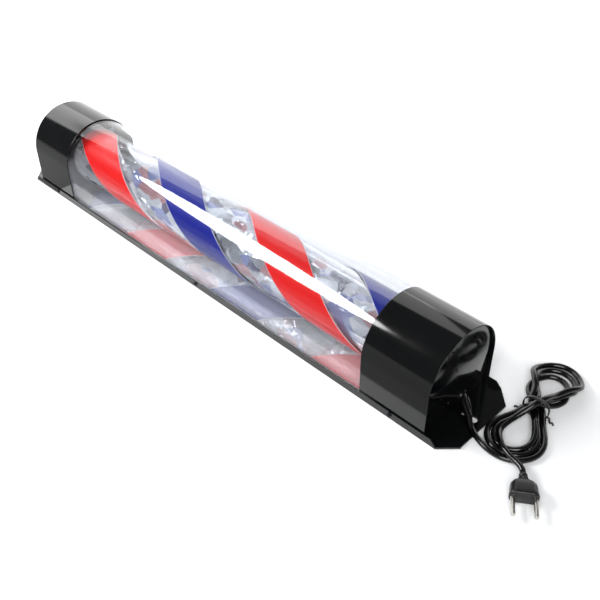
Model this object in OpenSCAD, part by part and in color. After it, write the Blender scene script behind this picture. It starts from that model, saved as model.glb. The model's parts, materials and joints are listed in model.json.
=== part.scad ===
// Barber pole light, lying on its back: a D-shaped clear cover on a black tray, with a
// motor-driven striped drum inside that turns round a fixed lamp tube.
// X runs along the pole towards the cord end, Z is up, and z = 0 is the face that meets the wall.

/* [Body] */
// Length over the two end sleeves
body_len = 640; // [520:1:800]
// Outside width of the end sleeves
sleeve_w = 100; // [83:0.1:124]
// Height of the drum's axis above the back face
axis_z = 47.4; // [39.5:0.1:58]
// Length of the sleeve at the motor end
motor_sleeve_len = 78; // [65:1:94]
// Length of the sleeve at the idler end
idler_sleeve_len = 74; // [61:1:89]
// Wall of the end sleeves
sleeve_t = 1.1; // [0.8:0.1:2]
// Wall of the clear cover
cover_t = 1.2; // [0.8:0.1:2]
// How far the cover stops short of the body's ends
cover_inset = 24; // [19:1:30]
// Gap between the sleeve and the cover inside it
sleeve_fit = 0.1; // [0.05:0.05:0.3]
// Wall of the end plugs
plug_t = 2; // [1.5:0.1:3]
// Radius of the end plugs' domed face
dome_r = 220; // [160:5:300]
// Depth of the end plugs
plug_depth = 16; // [13:0.5:20]

/* [Tray] */
// Length of each mounting tongue beyond the sleeves
tongue_len = 30; // [25:1:40]
// Corner cut of each tongue
corner_cut = 16; // [10:1:20]
// Thickness of the tray's floor
floor_t = 2; // [1.5:0.1:3]
// Thickness of the tray's side lips
lip_t = 1.5; // [1:0.1:2.5]
// Height of the tray's side lips
lip_h = 8.2; // [7:0.1:12]
// Diameter of the hanging holes
hang_d = 9; // [6:0.5:10]
// Distance from the sleeve to the hanging hole's centre
hang_out = 18; // [16:0.5:21]
// Diameter of the fixing holes
fix_d = 4; // [3:0.5:5]
// Distance from the sleeve to the fixing hole's centre
fix_out = 7.5; // [6:0.5:9]
// Distance of the end side screws from the body's ends
side_screw_in = 39; // [33:1:46]
// Height of the side screws
side_screw_z = 4.9; // [4.5:0.1:5.2]
// Thread diameter of the side screws
side_screw_d = 2.9; // [2:0.1:3.5]

/* [Mirror floor] */
// Thickness of the mirror liner
mirror_t = 0.6; // [0.4:0.1:1.2]
// Height of the foam pads under the mirror
pad_t = 1.4; // [1.3:0.1:2]
// Room left between the mirror and each side wall of the cover
mirror_gap = 1.8; // [1.6:0.1:4]

/* [Drum] */
// Outside diameter of the drum's clear film tube
drum_d = 68.4; // [56:0.1:82]
// Wall of the film tube
film_t = 0.5; // [0.3:0.1:1]
// Wall of the crinkled liner
liner_t = 0.3; // [0.2:0.1:0.5]
// Gap between rolled layers of the drum
layer_fit = 0.1; // [0.05:0.05:0.2]
// Length of drum for one turn of the stripes
stripe_pitch = 325; // [260:5:400]
// Share of a turn that each stripe covers, in degrees
stripe_arc = 90; // [60:1:100]
// Angle of the red stripe's first edge at the idler end, in degrees
stripe_start = 31; // [0:1:359]
// Thickness of the stripes
stripe_t = 0.25; // [0.2:0.05:0.5]
// Distance from the drum to the body's end at the motor end
motor_bay = 68; // [66:1:80]
// Distance from the drum to the body's end at the idler end
idler_bay = 64; // [62:1:76]
// Thickness of the drum's end discs
disc_t = 2.5; // [2:0.1:4]
// Depth of the end discs' rims
disc_rim = 10; // [6:0.5:14]

/* [Drive] */
// Diameter of the gear motor
motor_d = 49; // [41:0.5:59]
// Length of the gear motor
motor_len = 21; // [17.5:0.5:25]
// Diameter of the motor's shaft
shaft_d = 7; // [5.5:0.1:8.5]
// Length of the drive hub's boss
hub_len = 12; // [10:0.5:14]
// Thickness of the bracket sheet
bracket_t = 1.5; // [1.2:0.1:2]
// Width of the bracket sheet
bracket_w = 76; // [72:1:86]
// Running clearance on radius of the shaft and of the idler bush
run_fit = 0.07; // [0.03:0.01:0.1]

/* [Lamp] */
// Diameter of the lamp tube
lamp_d = 15.6; // [13:0.1:18.6]
// Wall of the lamp tube
lamp_wall = 0.8; // [0.6:0.1:1.2]
// Distance from the lamp's free end to the drum's motor end
lamp_short = 27; // [20:1:40]
// Number of light chips on the lamp board
chip_count = 38; // [20:1:60]

/* [Cord] */
// Diameter of the power cord
cord_d = 5.5; // [5:0.1:6]
// Sideways place of the cord's exit
exit_y = 9; // [6:0.5:12]
// Height of the cord's exit
exit_z = 12; // [11:0.5:14]

/* [Hidden] */
$fn = 64;

over = 1;                                     // how far a cut runs past a face
fit = 0.1;                                    // slack on radius of a screw or a pressed piece
body_end = body_len / 2;
sleeve_r = sleeve_w / 2;
cover_r = sleeve_r - sleeve_t - sleeve_fit;
inner_r = cover_r - cover_t;
tray_end = body_end + tongue_len;
lip_end = tray_end - corner_cut;
tray_half = sleeve_r + lip_t;
pad_z = floor_t + pad_t;

// drum
drum_x0 = -body_end + idler_bay;
drum_x1 = body_end - motor_bay;
drum_r = drum_d / 2;
liner_r = drum_r - film_t - layer_fit;
disc_r = liner_r - liner_t - layer_fit;
stripe_r = drum_r + 0.25;                     // the facets of the stripe stay outside the tube
stripe_inset = 1;
disc_rim_t = 2;
hub_flange_t = 2.5;
hub_flange_r = 15;
hub_boss_r = 8;
hub_screw_ring = 11.5;

// motor end, from the drum outwards
hub_end = drum_x1 + hub_len;
bracket_x = hub_end + 4;
motor_x = bracket_x + bracket_t;
boss_r = shaft_d / 2 + 2.5;
boss_len = 2.5;
shaft_in = 14;
ear_y = (motor_d + 11) / 2;
ear_r = 4;
ear_t = 1;
foot_len = 13;
foot_w = 56;
foot_screw_y = 20;
terminal_size = [16, 22, 13];
terminal_x = body_end - plug_depth - 0.5 - terminal_size[0];
terminal_y = -30;

// idler end, from the drum outwards
bush_flange_t = 2;
stub_r = lamp_d / 2 + 2.2;
stub_bore_r = lamp_d / 2 + 0.5;
bush_r = stub_r + 3;
bush_flange_r = bush_r + 4;
stub_flange_r = stub_r + 7;
stub_flange_t = 2;
stub_ring = stub_r + 3.5;
idler_x = drum_x0 - bush_flange_t - 10.5;     // face of the idler bracket that looks at the drum
stub_end = drum_x0 + 8;
flange_x = idler_x - bracket_t;
holder_x = flange_x - stub_flange_t;
holder_len = 22;
lamp_x0 = holder_x - holder_len + 2;
lamp_x1 = drum_x1 - lamp_short;
driver_size = [19, 60, 22];
driver_x = -body_end + plug_depth + 0.5;
lead_y = -inner_r + 4;                        // the flat lead runs beside the brackets' feet
lead_size = [5, 1.2];
board_size = [9, 1.2];
board_z = axis_z - 2.5;
mirror_x0 = idler_x;
mirror_x1 = drum_x1 - disc_rim;

// cord: round numbers chosen by hand, following the lead from the relief to the hank
relief_neck_r = 4.4;
relief_flange_t = 2;
relief_neck_len = 8;
dome_centre = [body_end - dome_r, 0, axis_z];
exit_off = [exit_y, exit_z - axis_z];         // from the dome's middle to the cord's exit
relief_axis = [sqrt(dome_r ^ 2 - exit_off * exit_off), exit_off[0], exit_off[1]] / dome_r;
relief_seat = dome_centre + dome_r * relief_axis;
relief_tip = [body_end + 16, exit_y - 13, exit_z - 5];
lead_points = [[336, -4, 7], [344, -10, 6], [352, -14.5, 5], [360, -17.5, 3.5], [364, -18.5, 3], [368, -19, 3]];
near_lobe = [378, 7.5];
far_lobe = [368, 97];
near_lobe_r = 28;
far_lobe_r = 25;
hank_h = 21;
waist_w = 24;
tie_at = 0.42;                                // place of the tie between the two lobes
tie_w = 4;
tie_t = 0.8;
tail_points = [[393, -17, 9], [398, -19, 9], [403, -22, 8.5], [408, -26, 7.5]];
plug_at = [408, -26, 7.5];
plug_turn = -55;                              // the plug points away from the hank
plug_len = 26;
plug_w = 26;
plug_h = 15;
pin_d = 4;
pin_len = 18;
pin_gap = 19;

// ---------- helpers ----------

// A flat shape drawn in (y, z), made solid from x0 to x1
module along_x(x0, x1) {
    translate([x0, 0, 0]) rotate([90, 0, 90]) linear_extrude(x1 - x0) children();
}

// A round bar along X
module bar_x(x0, x1, r, y = 0, z = axis_z) {
    translate([x0, y, z]) rotate([0, 90, 0]) cylinder(h = x1 - x0, r = r);
}

// A round bar along Y
module bar_y(y0, y1, r, x, z) {
    translate([x, y0, z]) rotate([-90, 0, 0]) cylinder(h = y1 - y0, r = r);
}

// The section of the body: straight sides with a half-round top
module d_outline(r, z0) {
    translate([0, axis_z]) intersection() {
        circle(r);
        translate([-2 * r, 0]) square([4 * r, 2 * r]);
    }
    translate([-r, z0]) square([2 * r, axis_z - z0]);
}

module d_solid(x0, x1, r, z0) {
    along_x(x0, x1) d_outline(r, z0);
}

module d_shell(x0, x1, r, t) {
    difference() {
        d_solid(x0, x1, r, floor_t);
        d_solid(x0 - over, x1 + over, r - t, floor_t - over);
    }
}

// Six places for the side screws: three on each side
module at_side_screws() {
    for (x = [-1, 0, 1], side = [-1, 1])
        translate([x * (body_end - side_screw_in), 0, side_screw_z]) scale([1, side, 1]) children();
}

module side_screw_holes() {
    for (x = [-1, 0, 1])
        bar_y(-tray_half - over, tray_half + over, side_screw_d / 2 + fit,
            x * (body_end - side_screw_in), side_screw_z);
}

// Rings of a tube that follows a smooth curve through the points
function spline(a, b, c, d, t) =
    0.5 * (2 * b + (c - a) * t + (2 * a - 5 * b + 4 * c - d) * t * t
        + (3 * b - a - 3 * c + d) * t * t * t);
function clamp_to(i, n) = min(max(i, 0), n);
function curve(p, steps) = let (n = len(p) - 1) concat(
    [for (i = [0 : n - 1], k = [0 : steps - 1])
        spline(p[clamp_to(i - 1, n)], p[i], p[i + 1], p[clamp_to(i + 2, n)], k / steps)],
    [p[n]]);
function unit(v) = v / norm(v);
function heading(c, i) = let (n = len(c) - 1) unit(c[clamp_to(i + 1, n)] - c[clamp_to(i - 1, n)]);

// A tube with eight sides along the points; side is a direction that it never runs along
module tube(points, r, steps, side = [0, 0, 1]) {
    sides = 8;
    c = curve(points, steps);
    n = len(c);
    rings = [for (i = [0 : n - 1])
        let (t = heading(c, i), u = unit(cross(t, side)), v = cross(u, t))
        for (k = [0 : sides - 1]) c[i] + r * (cos(k * 360 / sides) * u + sin(k * 360 / sides) * v)];
    walls = [for (i = [0 : n - 2], k = [0 : sides - 1])
        let (k2 = (k + 1) % sides)
        [i * sides + k, i * sides + k2, (i + 1) * sides + k2, (i + 1) * sides + k]];
    start = [for (k = [sides - 1 : -1 : 0]) k];
    end = [for (k = [0 : sides - 1]) (n - 1) * sides + k];
    polyhedron(rings, concat(walls, [start, end]), convexity = 6);
}

// A screw that points along +X from its seat at x = 0: pan head behind, thread ahead
module screw_x(d, length, head_d, head_h) {
    rotate([0, 90, 0]) {
        cylinder(h = length, d = d);
        difference() {
            translate([0, 0, -head_h]) cylinder(h = head_h, d = head_d);
            for (a = [0, 90]) rotate(a)
                translate([-head_d / 3, -head_d / 16, -head_h - over])
                    cube([head_d * 2 / 3, head_d / 8, over + head_h / 2]);
        }
    }
}

// ---------- tray, cover and ends ----------

module base_tray() {
    color([0.05, 0.05, 0.055]) difference() {
        union() {
            linear_extrude(floor_t) polygon([
                [-lip_end, -tray_half], [lip_end, -tray_half],
                [tray_end, corner_cut - tray_half], [tray_end, tray_half - corner_cut],
                [lip_end, tray_half], [-lip_end, tray_half],
                [-tray_end, tray_half - corner_cut], [-tray_end, corner_cut - tray_half]
            ]);
            for (y = [-tray_half, sleeve_r])
                translate([0, y + lip_t, 0]) rotate([90, 0, 0]) linear_extrude(lip_t) polygon([
                    [-lip_end, 0], [lip_end, 0], [lip_end, floor_t],
                    [lip_end - lip_h + floor_t, lip_h], [-lip_end + lip_h - floor_t, lip_h],
                    [-lip_end, floor_t]
                ]);
        }
        side_screw_holes();
        for (s = [-1, 1]) {
            translate([s * (body_end + hang_out), 0, -over]) cylinder(h = floor_t + 2 * over, d = hang_d);
            translate([s * (body_end + fix_out), 0, -over]) cylinder(h = floor_t + 2 * over, d = fix_d);
        }
        at_foot_screws() translate([0, 0, -over]) cylinder(h = floor_t + 2 * over, r = 1.5 + fit);
    }
}

module floor_mirror() {
    color([0.85, 0.86, 0.88])
        translate([mirror_x0, -inner_r + mirror_gap, pad_z])
            cube([mirror_x1 - mirror_x0, 2 * (inner_r - mirror_gap), mirror_t]);
}

module mirror_pads() {
    pad_w = 8;
    color([0.9, 0.9, 0.88]) for (side = [-1, 1])
        translate([mirror_x0 + 4, side * inner_r / 2 - pad_w / 2, floor_t])
            cube([mirror_x1 - mirror_x0 - 8, pad_w, pad_t]);
}

module clear_cover() {
    color([0.8, 0.85, 0.9, 0.4]) difference() {
        d_shell(-body_end + cover_inset, body_end - cover_inset, cover_r, cover_t);
        side_screw_holes();
    }
}

module motor_end_sleeve() {
    color([0.03, 0.03, 0.035]) difference() {
        d_shell(body_end - motor_sleeve_len, body_end, sleeve_r, sleeve_t);
        side_screw_holes();
    }
}

module idler_end_sleeve() {
    color([0.03, 0.03, 0.035]) difference() {
        d_shell(-body_end, -body_end + idler_sleeve_len, sleeve_r, sleeve_t);
        side_screw_holes();
    }
}

// A domed cap with a skirt, drawn at the +X end
module end_plug() {
    skirt = 1.6;
    skirt_x = body_end - plug_depth;
    difference() {
        intersection() {
            d_solid(skirt_x, body_end + over, cover_r, floor_t);
            dome(dome_r);
        }
        intersection() {
            d_solid(skirt_x - over, body_end + over, cover_r - skirt, floor_t + skirt);
            dome(dome_r - plug_t);
        }
    }
}

module dome(r) {
    translate([body_end - dome_r, 0, axis_z]) rotate([0, 0, 180]) sphere(r);
}

module motor_end_plug() {
    color([0.03, 0.03, 0.035]) difference() {
        end_plug();
        aim(relief_seat, dome_centre) translate([0, 0, -over])
            cylinder(h = plug_depth, r = relief_neck_r + fit);
    }
}

module idler_end_plug() {
    color([0.03, 0.03, 0.035]) mirror([1, 0, 0]) end_plug();
}

module side_screws() {
    head_d = 5.2;
    color([0.1, 0.1, 0.1]) at_side_screws()
        translate([0, tray_half, 0]) rotate([0, 0, -90])
            screw_x(side_screw_d, lip_t + sleeve_r - inner_r + 1.2, head_d, 1.3);
}

// ---------- motor end ----------

module at_foot_screws() {
    for (side = [-1, 1]) {
        translate([motor_x + foot_len * 0.6, side * foot_screw_y, 0]) children();
        translate([flange_x - foot_len * 0.6, side * foot_screw_y, 0]) children();
    }
}

module motor_bracket() {
    color([0.72, 0.73, 0.75]) difference() {
        union() {
            translate([bracket_x, -bracket_w / 2, floor_t])
                cube([bracket_t, bracket_w, axis_z + 14 - floor_t]);
            translate([motor_x - over, -foot_w / 2, floor_t]) cube([foot_len + over, foot_w, bracket_t]);
        }
        bar_x(bracket_x - over, motor_x + over, boss_r + 0.3);
        for (side = [-1, 1]) bar_x(bracket_x - over, motor_x + over, 2.1, side * ear_y);
        at_foot_screws() translate([0, 0, floor_t - over]) cylinder(h = bracket_t + 2 * over, r = 1.5 + fit);
    }
}

module gear_motor() {
    color([0.78, 0.79, 0.8]) difference() {
        union() {
            bar_x(motor_x, motor_x + motor_len, motor_d / 2);
            bar_x(motor_x - boss_len, motor_x + over, boss_r);
            translate([motor_x, -ear_y, axis_z - ear_r]) cube([ear_t, 2 * ear_y, 2 * ear_r]);
            for (side = [-1, 1]) bar_x(motor_x, motor_x + ear_t, ear_r, side * ear_y);
        }
        bar_x(motor_x - boss_len - over, motor_x + shaft_in, shaft_d / 2 + run_fit);
        for (side = [-1, 1]) bar_x(motor_x - over, motor_x + ear_t + over, 2.1, side * ear_y);
    }
}

module motor_screws() {
    color([0.8, 0.8, 0.82]) for (side = [-1, 1])
        translate([bracket_x, side * ear_y, axis_z]) screw_x(3.9, bracket_t + ear_t + 4.2, 7, 2.6);
}

module motor_nuts() {
    color([0.8, 0.8, 0.82]) for (side = [-1, 1])
        translate([motor_x + ear_t, side * ear_y, axis_z]) rotate([0, 90, 0]) difference() {
            cylinder(h = 3.2, d = 7.6, $fn = 6);
            translate([0, 0, -over]) cylinder(h = 3.2 + 2 * over, d = 4.1);
        }
}

module bracket_screws() {
    color([0.8, 0.8, 0.82]) at_foot_screws()
        translate([0, 0, floor_t + bracket_t]) rotate([0, 90, 0]) screw_x(2.9, floor_t + bracket_t - 0.3, 5.4, 2);
}

module terminal_block() {
    color([0.92, 0.92, 0.9]) difference() {
        translate([terminal_x, terminal_y, floor_t]) cube(terminal_size);
        for (y = [5.5, 16.5]) {
            bar_x(terminal_x - over, terminal_x + terminal_size[0] + over, 1.8, terminal_y + y, floor_t + 5.5);
            for (x = [4, 12]) translate([terminal_x + x, terminal_y + y, floor_t + 6])
                cylinder(h = terminal_size[2], d = 3.4);
        }
    }
}

module terminal_screws() {
    color([0.8, 0.7, 0.4]) for (y = [5.5, 16.5], x = [4, 12])
        translate([terminal_x + x, terminal_y + y, floor_t + terminal_size[2] - 3]) difference() {
            translate([0, 0, -2]) cylinder(h = 4, d = 3.2);
            translate([-2, -0.3, 1.2]) cube([4, 0.6, over]);
        }
}

// Two thin wires from the back of the motor down to the terminal block
module motor_leads() {
    wire_r = 0.8;
    color([0.75, 0.1, 0.1]) for (i = [0, 1]) let (y = terminal_y + 5.5 + 11 * i)
        tube([
            [motor_x + motor_len, y + 12, axis_z - 12],
            [motor_x + motor_len + 3, y + 11, axis_z - 15],
            [motor_x + motor_len + 7, y + 4, max(axis_z - 22, floor_t + terminal_size[2] + 10)],
            [terminal_x + terminal_size[0] + 3, y, floor_t + 10],
            [terminal_x + terminal_size[0] + 2, y, floor_t + 5.5],
            [terminal_x + terminal_size[0] - 3, y, floor_t + 5.5]
        ], wire_r, 4, [0, 1, 0.02]);
}

// The cord's own end inside the body, from the strain relief to the terminal block
module cord_inner_end() {
    neck_end = relief_seat - relief_neck_len * relief_axis;
    color([0.05, 0.05, 0.05]) tube([
        neck_end,
        neck_end - 6 * relief_axis,
        [terminal_x + 8, exit_y - 6, exit_z],
        [terminal_x + 8, terminal_y + terminal_size[1], floor_t + 5.5]
    ], cord_d / 2, 4);
}

// ---------- idler end and lamp ----------

module idler_bracket() {
    color([0.72, 0.73, 0.75]) difference() {
        union() {
            translate([flange_x, -bracket_w / 2, floor_t])
                cube([bracket_t, bracket_w, axis_z + stub_flange_r + 2 - floor_t]);
            translate([flange_x - foot_len, -foot_w / 2, floor_t]) cube([foot_len + over, foot_w, bracket_t]);
        }
        bar_x(flange_x - over, idler_x + over, stub_r + fit);
        at_stub_screws() bar_x(flange_x - over, idler_x + over, 1.5 + fit, 0, 0);
        at_foot_screws() translate([0, 0, floor_t - over]) cylinder(h = bracket_t + 2 * over, r = 1.5 + fit);
    }
}

// Three places round the stub's flange
module at_stub_screws() {
    for (a = [90 : 120 : 330]) translate([0, stub_ring * cos(a), axis_z + stub_ring * sin(a)]) children();
}

// The hollow stub that the drum turns on and the lamp passes through
module idler_stub() {
    color([0.9, 0.9, 0.86]) difference() {
        union() {
            bar_x(flange_x - stub_flange_t, flange_x, stub_flange_r);
            bar_x(flange_x - over, stub_end, stub_r);
        }
        bar_x(holder_x - over, stub_end + over, stub_bore_r);
        at_stub_screws() bar_x(holder_x - over, flange_x + over, 1.5 + fit, 0, 0);
    }
}

module stub_screws() {
    color([0.8, 0.8, 0.82]) at_stub_screws()
        translate([holder_x - 2, 0, 0]) screw_x(2.9, 2 + stub_flange_t + bracket_t + 2, 5.4, 2);
}

module lamp_holder() {
    color([0.93, 0.93, 0.9]) difference() {
        union() {
            bar_x(holder_x - 2, holder_x, stub_flange_r);
            bar_x(holder_x - holder_len, holder_x - over, lamp_d / 2 + 2);
        }
        bar_x(lamp_x0, holder_x + over, lamp_d / 2 + fit);
        at_stub_screws() bar_x(holder_x - 2 - over, holder_x + over, 1.5 + fit, 0, 0);
    }
}

module lamp_tube() {
    color([0.95, 0.96, 1, 0.7]) difference() {
        bar_x(lamp_x0, lamp_x1, lamp_d / 2);
        bar_x(lamp_x0 - over, lamp_x1 + over, lamp_d / 2 - lamp_wall);
    }
}

// A stepped plug that closes the lamp's free end
module lamp_cap() {
    color([0.8, 0.8, 0.82]) union() {
        bar_x(lamp_x1, lamp_x1 + 5, lamp_d / 2 + 0.2);
        bar_x(lamp_x1 - 4, lamp_x1 + over, lamp_d / 2 - lamp_wall - fit);
    }
}

module lamp_board() {
    color([0.93, 0.94, 0.92]) translate([lamp_x0 + 3, -board_size[0] / 2, board_z])
        cube([lamp_x1 - 8 - lamp_x0, board_size[0], board_size[1]]);
}

module lamp_chips() {
    chip = [3.5, 2.8, 0.8];
    first = lamp_x0 + 24;
    step = (lamp_x1 - 12 - first) / (chip_count - 1);
    color([0.98, 0.9, 0.5]) for (i = [0 : chip_count - 1])
        translate([first + i * step - chip[0] / 2, -chip[1] / 2, board_z + board_size[1]]) cube(chip);
}

module lamp_driver() {
    color([0.93, 0.93, 0.92]) union() {
        translate([driver_x, -driver_size[1] / 2, floor_t]) cube(driver_size);
        for (side = [-1, 1])
            translate([driver_x + 4, side * (driver_size[1] / 2 + 3) - 4, floor_t]) cube([12, 8, 2]);
    }
}

// Two thin wires from the driver up to the lamp holder
module lamp_leads() {
    wire_r = 0.8;
    color([0.75, 0.1, 0.1]) for (y = [-3, 3]) tube([
        [driver_x + 10, y, floor_t + driver_size[2]],
        [driver_x + 9, y, floor_t + driver_size[2] + 5],
        [driver_x + 5, y, axis_z - 10],
        [driver_x + 5, y, axis_z - 3],
        [holder_x - holder_len, y, axis_z]
    ], wire_r, 4, [0, 1, 0]);
}

// A flat twin lead from the terminal block to the driver, under the mirror
module feed_lead() {
    feed_x0 = driver_x + driver_size[0] / 2;
    feed_x1 = terminal_x + terminal_size[0] / 2;
    color([0.9, 0.9, 0.9]) {
        translate([feed_x0, lead_y - lead_size[0] / 2, floor_t])
            cube([feed_x1 - feed_x0, lead_size[0], lead_size[1]]);
        translate([feed_x1 - lead_size[0], lead_y, floor_t])
            cube([lead_size[0], terminal_y - lead_y, lead_size[1]]);
        translate([feed_x0, lead_y, floor_t])
            cube([lead_size[0], -driver_size[1] / 2 - 7 - lead_y, lead_size[1]]);
    }
}

// ---------- the drum and what turns with it ----------

module pipe_x(x0, x1, r, t) {
    difference() {
        bar_x(x0, x1, r);
        bar_x(x0 - over, x1 + over, r - t);
    }
}

module drum_film() {
    color([0.9, 0.93, 0.97, 0.4]) pipe_x(drum_x0, drum_x1, drum_r, film_t);
}

module crinkle_liner() {
    color([0.8, 0.82, 0.85]) pipe_x(drum_x0, drum_x1, liner_r, liner_t);
}

// A band that winds round the drum; start is its angle at the idler end
module stripe(start) {
    length = drum_x1 - drum_x0 - 2 * stripe_inset;
    parts = 8;
    arc = [for (i = [0 : parts]) start + stripe_arc * i / parts];
    translate([drum_x0 + stripe_inset, 0, axis_z]) rotate([90, 0, 90])
        linear_extrude(length, twist = -360 * length / stripe_pitch, slices = round(length / 9), convexity = 6,
            $fn = parts) polygon(concat(
                [for (a = arc) (stripe_r + stripe_t) * [cos(a), sin(a)]],
                [for (i = [parts : -1 : 0]) stripe_r * [cos(arc[i]), sin(arc[i])]]
            ));
}

module red_stripe() {
    color([0.9, 0.08, 0.07]) stripe(stripe_start);
}

module blue_stripe() {
    color([0.08, 0.12, 0.6]) stripe(stripe_start + 180);
}

// A disc with a rim, open towards the middle of the drum
module end_disc(x_out, way, hole_r) {
    difference() {
        bar_x(min(x_out, x_out + way * disc_rim), max(x_out, x_out + way * disc_rim), disc_r);
        bar_x(min(x_out + way * disc_t, x_out + way * (disc_rim + over)),
            max(x_out + way * disc_t, x_out + way * (disc_rim + over)), disc_r - disc_rim_t);
        bar_x(x_out - disc_rim, x_out + disc_rim, hole_r);
    }
}

module at_hub_screws() {
    for (a = [30 : 120 : 270]) translate([0, hub_screw_ring * cos(a), axis_z + hub_screw_ring * sin(a)])
        children();
}

module motor_end_disc() {
    color([0.9, 0.9, 0.92]) difference() {
        end_disc(drum_x1, -1, shaft_d / 2 + 0.5);
        at_hub_screws() bar_x(drum_x1 - disc_t - over, drum_x1 + over, 1.5 + fit, 0, 0);
    }
}

module idler_end_disc() {
    color([0.9, 0.9, 0.92]) end_disc(drum_x0, 1, bush_r + fit / 2);
}

module drive_hub() {
    color([0.9, 0.9, 0.86]) difference() {
        union() {
            bar_x(drum_x1, drum_x1 + hub_flange_t, hub_flange_r);
            bar_x(drum_x1, hub_end, hub_boss_r);
        }
        bar_x(drum_x1 - over, hub_end + over, shaft_d / 2 + fit / 2);
        at_hub_screws() bar_x(drum_x1 - over, drum_x1 + hub_flange_t + over, 1.5 + fit, 0, 0);
        bar_y(0, hub_boss_r + over, 1.5 + fit, hub_end - 4, axis_z);
    }
}

module hub_grub_screw() {
    color([0.3, 0.3, 0.32]) bar_y(shaft_d / 2 + fit, hub_boss_r - 0.4, 1.5, hub_end - 4, axis_z);
}

module hub_screws() {
    color([0.8, 0.8, 0.82]) at_hub_screws()
        translate([drum_x1 + hub_flange_t, 0, 0]) rotate([0, 0, 180])
            screw_x(2.9, hub_flange_t + disc_t + 2, 5, 1.8);
}

module motor_shaft() {
    color([0.8, 0.8, 0.82]) bar_x(drum_x1 + 1, motor_x + shaft_in - 1, shaft_d / 2);
}

module idler_bush() {
    color([0.95, 0.95, 0.9]) difference() {
        union() {
            bar_x(drum_x0 - bush_flange_t, drum_x0, bush_flange_r);
            bar_x(drum_x0 - over, drum_x0 + 8, bush_r);
        }
        bar_x(drum_x0 - bush_flange_t - over, drum_x0 + 8 + over, stub_r + run_fit);
    }
}

// ---------- cord and plug ----------

// Turns +Z of its children to point from a to b, and moves them to a
module aim(a, b) {
    v = b - a;
    translate(a) rotate([0, acos(v[2] / norm(v)), atan2(v[1], v[0])]) children();
}

module strain_relief() {
    seat = relief_seat + 0.02 * relief_axis;
    root = seat + relief_flange_t / 2 * relief_axis;
    color([0.04, 0.04, 0.04]) union() {
        aim(seat, dome_centre) cylinder(h = relief_neck_len, r = relief_neck_r);
        aim(seat, seat + relief_axis) cylinder(h = relief_flange_t, r = relief_neck_r + 2.4);
        aim(root, relief_tip)
            cylinder(h = norm(relief_tip - root), r1 = relief_neck_r, r2 = cord_d / 2 + 0.6);
    }
}

module power_cord_lead() {
    color([0.04, 0.04, 0.04]) tube(lead_points, cord_d / 2, 4);
}

function hank_mix(t) = near_lobe + t * (far_lobe - near_lobe);

// The wound cord as one solid: two round lobes and a waist
module cord_hank() {
    span = far_lobe - near_lobe;
    color([0.05, 0.05, 0.05]) linear_extrude(hank_h) {
        translate(near_lobe) circle(near_lobe_r);
        translate(far_lobe) circle(far_lobe_r);
        translate(near_lobe) rotate(atan2(span[1], span[0]))
            translate([0, -waist_w / 2]) square([norm(span), waist_w]);
    }
}

// A twist tie round the waist
module cord_tie() {
    span = far_lobe - near_lobe;
    color([0.1, 0.1, 0.1]) translate(hank_mix(tie_at)) rotate(atan2(span[1], span[0]))
        translate([-tie_w / 2, 0, 0]) difference() {
            translate([0, -waist_w / 2 - tie_t, 0]) cube([tie_w, waist_w + 2 * tie_t, hank_h + tie_t]);
            translate([-over, -waist_w / 2, -over]) cube([tie_w + 2 * over, waist_w, hank_h + over]);
        }
}

module cord_tail() {
    color([0.04, 0.04, 0.04]) tube(tail_points, cord_d / 2, 3);
}

module plug_body() {
    nose = 8;
    color([0.06, 0.06, 0.06]) translate(plug_at) rotate([0, 0, plug_turn]) rotate([90, 0, 90])
        difference() {
            union() {
                translate([0, 0, nose]) linear_extrude(plug_len - nose) {
                    square([plug_w - plug_h, plug_h], center = true);
                    for (s = [-1, 1]) translate([s * (plug_w - plug_h) / 2, 0]) circle(d = plug_h);
                }
                cylinder(h = nose + over, r1 = cord_d / 2 + 1.2, r2 = plug_h / 2 - 0.4);
            }
            for (s = [-1, 1]) translate([s * pin_gap / 2, 0, plug_len - 4])
                cylinder(h = 4 + over, d = pin_d + 2 * fit);
        }
}

module plug_pins() {
    color([0.85, 0.85, 0.86]) translate(plug_at) rotate([0, 0, plug_turn]) rotate([90, 0, 90])
        for (s = [-1, 1]) translate([s * pin_gap / 2, 0, plug_len - 4]) cylinder(h = pin_len + 4, d = pin_d);
}

base_tray();
floor_mirror();
mirror_pads();
clear_cover();
motor_end_sleeve();
idler_end_sleeve();
motor_end_plug();
idler_end_plug();
side_screws();
motor_bracket();
gear_motor();
motor_screws();
motor_nuts();
bracket_screws();
idler_bracket();
idler_stub();
stub_screws();
lamp_holder();
lamp_tube();
lamp_cap();
lamp_board();
lamp_chips();
lamp_driver();
lamp_leads();
feed_lead();
terminal_block();
terminal_screws();
motor_leads();
cord_inner_end();
strain_relief();
drum_film();
crinkle_liner();
red_stripe();
blue_stripe();
motor_end_disc();
idler_end_disc();
drive_hub();
hub_grub_screw();
hub_screws();
motor_shaft();
idler_bush();
power_cord_lead();
cord_hank();
cord_tie();
cord_tail();
plug_body();
plug_pins();
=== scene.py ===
# %% [markdown]
# # A barber pole light, lying on its back
# The real object is a pole of clear plastic on a black tray. A printed drum turns inside it round
# a lamp tube, and black moulded sleeves close both ends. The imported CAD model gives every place
# and size here. This lesson gives its pieces their fine shapes and finishes.

# %% Load the frame
import json
import math
import bpy
import bmesh
import numpy as np
from mathutils import Matrix, Vector


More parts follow.
